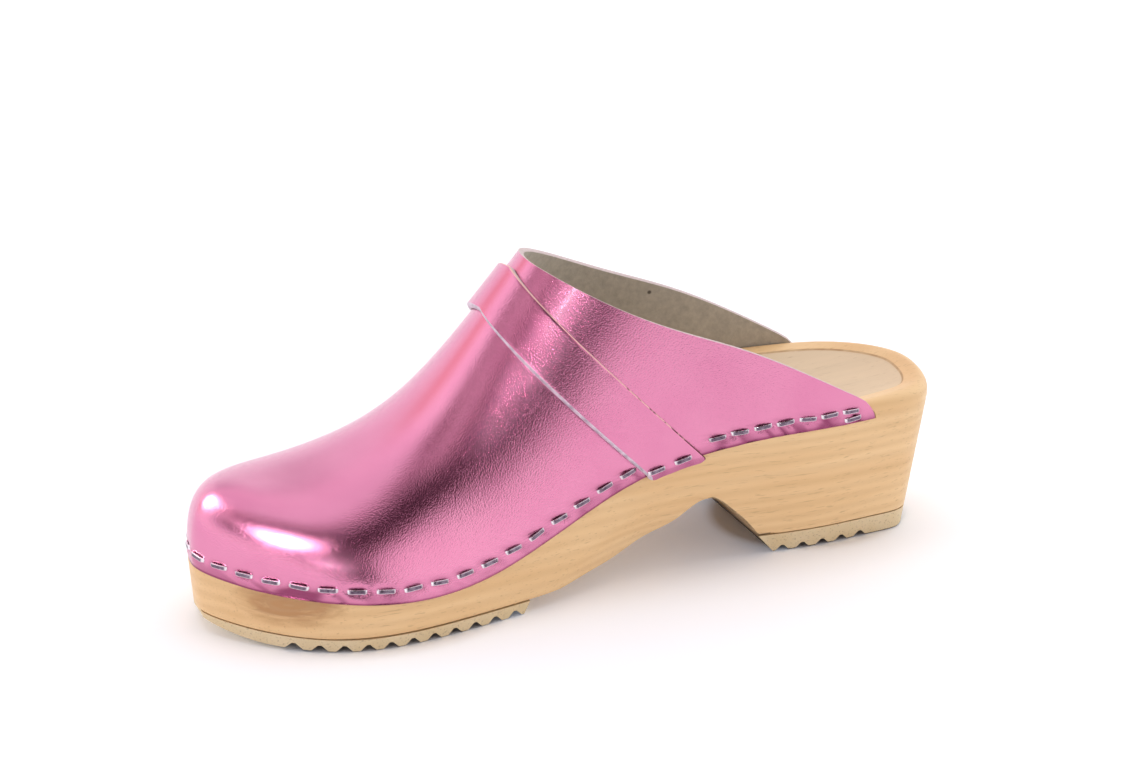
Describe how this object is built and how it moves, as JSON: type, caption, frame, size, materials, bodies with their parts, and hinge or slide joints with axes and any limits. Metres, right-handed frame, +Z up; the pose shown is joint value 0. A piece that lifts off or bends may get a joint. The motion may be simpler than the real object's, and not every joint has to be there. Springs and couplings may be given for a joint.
{
  "type": "wooden clog",
  "caption": "Right-foot mule clog: open-heeled metallic pink leather upper and instep strap stapled to a contoured wooden sole with rubber treads.",
  "frame": {"origin": "on the floor under the flat spot at the rear of the heel tread, on the line that the sole's half widths are measured from", "axes": "+X towards the toe, +Y towards the inner side of the right foot, +Z up"},
  "size_m": [0.2459, 0.0958, 0.1031],
  "materials": {
    "wood": "smooth pale alder, thin satin lacquer, grain running from heel to toe",
    "rubber": "matt beige-tan moulded rubber, cut across in lugs",
    "leather": "glossy metallic pink foil on fine pebbled leather, raw pale cut edges, suede inside",
    "steel": "bright bare staple wire"
  },
  "bodies": {
    "root": {"wood_sole": "wood", "heel_tread": "rubber", "forefoot_tread": "rubber", "upper": "leather", "instep_strap": "leather", "staple_inner_01": "steel", "staple_inner_02": "steel", "staple_inner_03": "steel", "staple_inner_04": "steel", "staple_inner_05": "steel", "staple_inner_06": "steel", "staple_inner_07": "steel", "staple_inner_08": "steel", "staple_inner_09": "steel", "staple_inner_10": "steel", "staple_inner_11": "steel", "staple_inner_12": "steel", "staple_inner_13": "steel", "staple_inner_14": "steel", "staple_inner_15": "steel", "staple_inner_16": "steel", "staple_inner_17": "steel", "staple_inner_18": "steel", "staple_inner_19": "steel", "staple_inner_20": "steel", "staple_inner_21": "steel", "staple_inner_22": "steel", "staple_inner_23": "steel", "staple_inner_24": "steel", "staple_inner_25": "steel", "staple_inner_26": "steel", "staple_inner_27": "steel", "staple_outer_01": "steel", "staple_outer_02": "steel", "staple_outer_03": "steel", "staple_outer_04": "steel", "staple_outer_05": "steel", "staple_outer_06": "steel", "staple_outer_07": "steel", "staple_outer_08": "steel", "staple_outer_09": "steel", "staple_outer_10": "steel", "staple_outer_11": "steel", "staple_outer_12": "steel", "staple_outer_13": "steel", "staple_outer_14": "steel", "staple_outer_15": "steel", "staple_outer_16": "steel", "staple_outer_17": "steel", "staple_outer_18": "steel", "staple_outer_19": "steel", "staple_outer_20": "steel", "staple_outer_21": "steel", "staple_outer_22": "steel", "staple_outer_23": "steel", "staple_outer_24": "steel", "staple_outer_25": "steel"}
  },
  "joints": []
}
